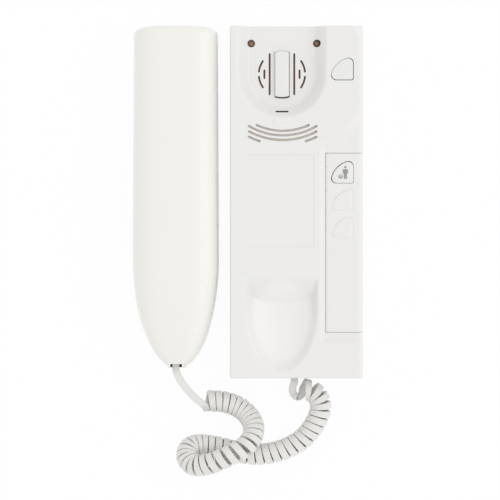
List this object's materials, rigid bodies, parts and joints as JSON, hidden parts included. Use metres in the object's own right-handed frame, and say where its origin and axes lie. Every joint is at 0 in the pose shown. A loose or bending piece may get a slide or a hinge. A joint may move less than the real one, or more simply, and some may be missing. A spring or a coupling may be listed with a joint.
{
  "type": "wall phone",
  "caption": "Slimline door-entry wall phone with a sprung hook lever, push keys and a handset off its cradle on a curly cord.",
  "frame": {"origin": "centre of the base's back face, where it meets the wall", "axes": "+Z out of the front of the base, +Y towards its top end, +X to the right seen from the front"},
  "size_m": [0.1439, 0.282, 0.0329],
  "materials": {
    "cover_plastic": "glossy white ABS moulding",
    "key_plastic": "glossy white ABS key",
    "plate_plastic": "matt light grey ABS moulding",
    "handset_plastic": "glossy warm white ABS moulding",
    "cord_sleeve": "satin white PVC sleeve",
    "plug_plastic": "clear polycarbonate",
    "dark_plastic": "matt black moulding",
    "board_laminate": "brown phenolic laminate",
    "terminal_plastic": "green polyamide",
    "capacitor_sleeve": "dark blue PVC sleeve",
    "trimmer_plastic": "blue plastic",
    "steel": "plain steel",
    "screw_finish": "brown chromated steel",
    "foam": "black foam rubber"
  },
  "bodies": {
    "base": {"front_cover": "cover_plastic", "rear_plate": "plate_plastic", "panel_strip": "cover_plastic", "lever_bracket": "plate_plastic", "lever_pin": "steel", "lever_spring": "steel", "hook_switch": "dark_plastic", "circuit_board": "board_laminate", "button_switches": "dark_plastic", "capacitors": "capacitor_sleeve", "buzzer": "dark_plastic", "volume_trimmer": "trimmer_plastic", "terminal_block": "terminal_plastic", "terminal_screws": "steel", "cradle_catch": "dark_plastic", "cover_screws": "screw_finish", "board_screws": "steel", "base_jack": "dark_plastic", "cord_lead_handset": "cord_sleeve", "curly_cord": "cord_sleeve", "cord_lead_base": "cord_sleeve", "plug_base": "plug_plastic"},
    "handset": {"back_shell": "handset_plastic", "front_shell": "handset_plastic", "receiver_capsule": "dark_plastic", "microphone_capsule": "steel", "receiver_ring": "foam", "ballast_weight": "steel", "shell_screws": "steel", "handset_jack": "dark_plastic", "plug_handset": "plug_plastic"},
    "hook_lever": {"hook_lever": "key_plastic"},
    "door_button": {"door_button": "key_plastic"},
    "panel_button": {"panel_button": "key_plastic"}
  },
  "joints": [
    {"name": "handset_lift", "type": "slide", "parent": "base", "child": "handset", "axis": [0, 0, 1], "range_m": [0, 0.12]},
    {"name": "hook_press", "type": "hinge", "parent": "base", "child": "hook_lever", "pos_m": [-0.009, 0.0985, 0.0132], "axis": [1, 0, 0], "range_deg": [0, 5], "stiffness_Nm_per_rad": 0.06, "springref_deg": -8.59, "deforming": ["lever_spring"]},
    {"name": "door_press", "type": "slide", "parent": "base", "child": "door_button", "axis": [0, 0, -1], "range_m": [0, 0.0012], "stiffness_N_per_m": 400, "springref_m": -0.0015},
    {"name": "panel_press", "type": "slide", "parent": "base", "child": "panel_button", "axis": [0, 0, -1], "range_m": [0, 0.0012], "stiffness_N_per_m": 400, "springref_m": -0.0015}
  ]
}
